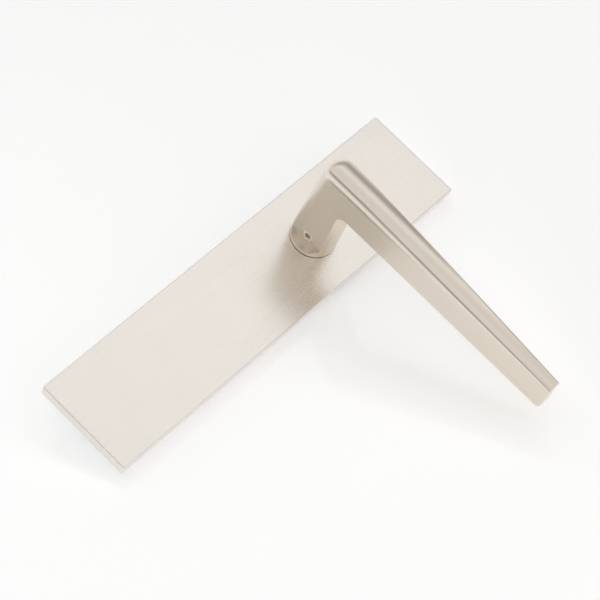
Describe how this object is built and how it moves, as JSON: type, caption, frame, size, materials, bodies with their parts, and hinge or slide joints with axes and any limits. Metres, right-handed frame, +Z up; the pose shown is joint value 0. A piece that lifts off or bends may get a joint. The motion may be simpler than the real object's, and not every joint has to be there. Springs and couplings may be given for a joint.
{
  "type": "lever handle lockset",
  "caption": "Door lever handle on a long blank backplate: sprung L-shaped lever, clip-on cover, fixing plate with threaded posts and a square spindle through the door.",
  "frame": {"origin": "on the lever's turning axis, in the plane of the door's face, where the plate's rim rests", "axes": "+Z up along the plate, +X the way the grip points, +Y into the door; the visible front faces -Y"},
  "size_m": [0.1544, 0.1307, 0.2175],
  "materials": {
    "plate_satin_nickel": "satin nickel plate, fine matt brushing",
    "lever_satin_nickel": "satin nickel plate, hand polished, warm",
    "screw_steel": "bright nickel-plated steel",
    "spindle_steel": "drawn zinc-plated steel",
    "spring_steel": "oiled spring steel",
    "zinc_plated_steel": "zinc-plated pressed steel",
    "cast_zinc": "die-cast zinc, tumbled",
    "white_nylon": "moulded nylon",
    "black_nylon": "moulded black nylon"
  },
  "bodies": {
    "plate": {"cover_plate": "plate_satin_nickel", "fixing_plate": "zinc_plated_steel", "front_bush": "white_nylon", "glide_washer": "black_nylon", "spring_housing": "cast_zinc", "rear_bush": "white_nylon", "stop_pins": "spindle_steel", "housing_screws": "zinc_plated_steel", "upper_bolt_post": "zinc_plated_steel", "lower_bolt_post": "zinc_plated_steel", "upper_cover_clip": "spring_steel", "middle_cover_clip": "spring_steel", "lower_cover_clip": "spring_steel", "clip_rivets": "zinc_plated_steel", "return_spring": "spring_steel"},
    "lever": {"lever_handle": "lever_satin_nickel", "set_screw": "screw_steel", "square_spindle": "spindle_steel", "thrust_washer": "white_nylon", "retaining_ring": "spring_steel", "spring_driver": "cast_zinc", "driver_clip": "spring_steel"}
  },
  "joints": [
    {"name": "lever_turn", "type": "hinge", "parent": "plate", "child": "lever", "pos_m": [0, 0, 0], "axis": [0, 1, 0], "range_deg": [0, 45], "stiffness_Nm_per_rad": 0.9, "springref_deg": -25.78, "deforming": ["return_spring"]}
  ]
}
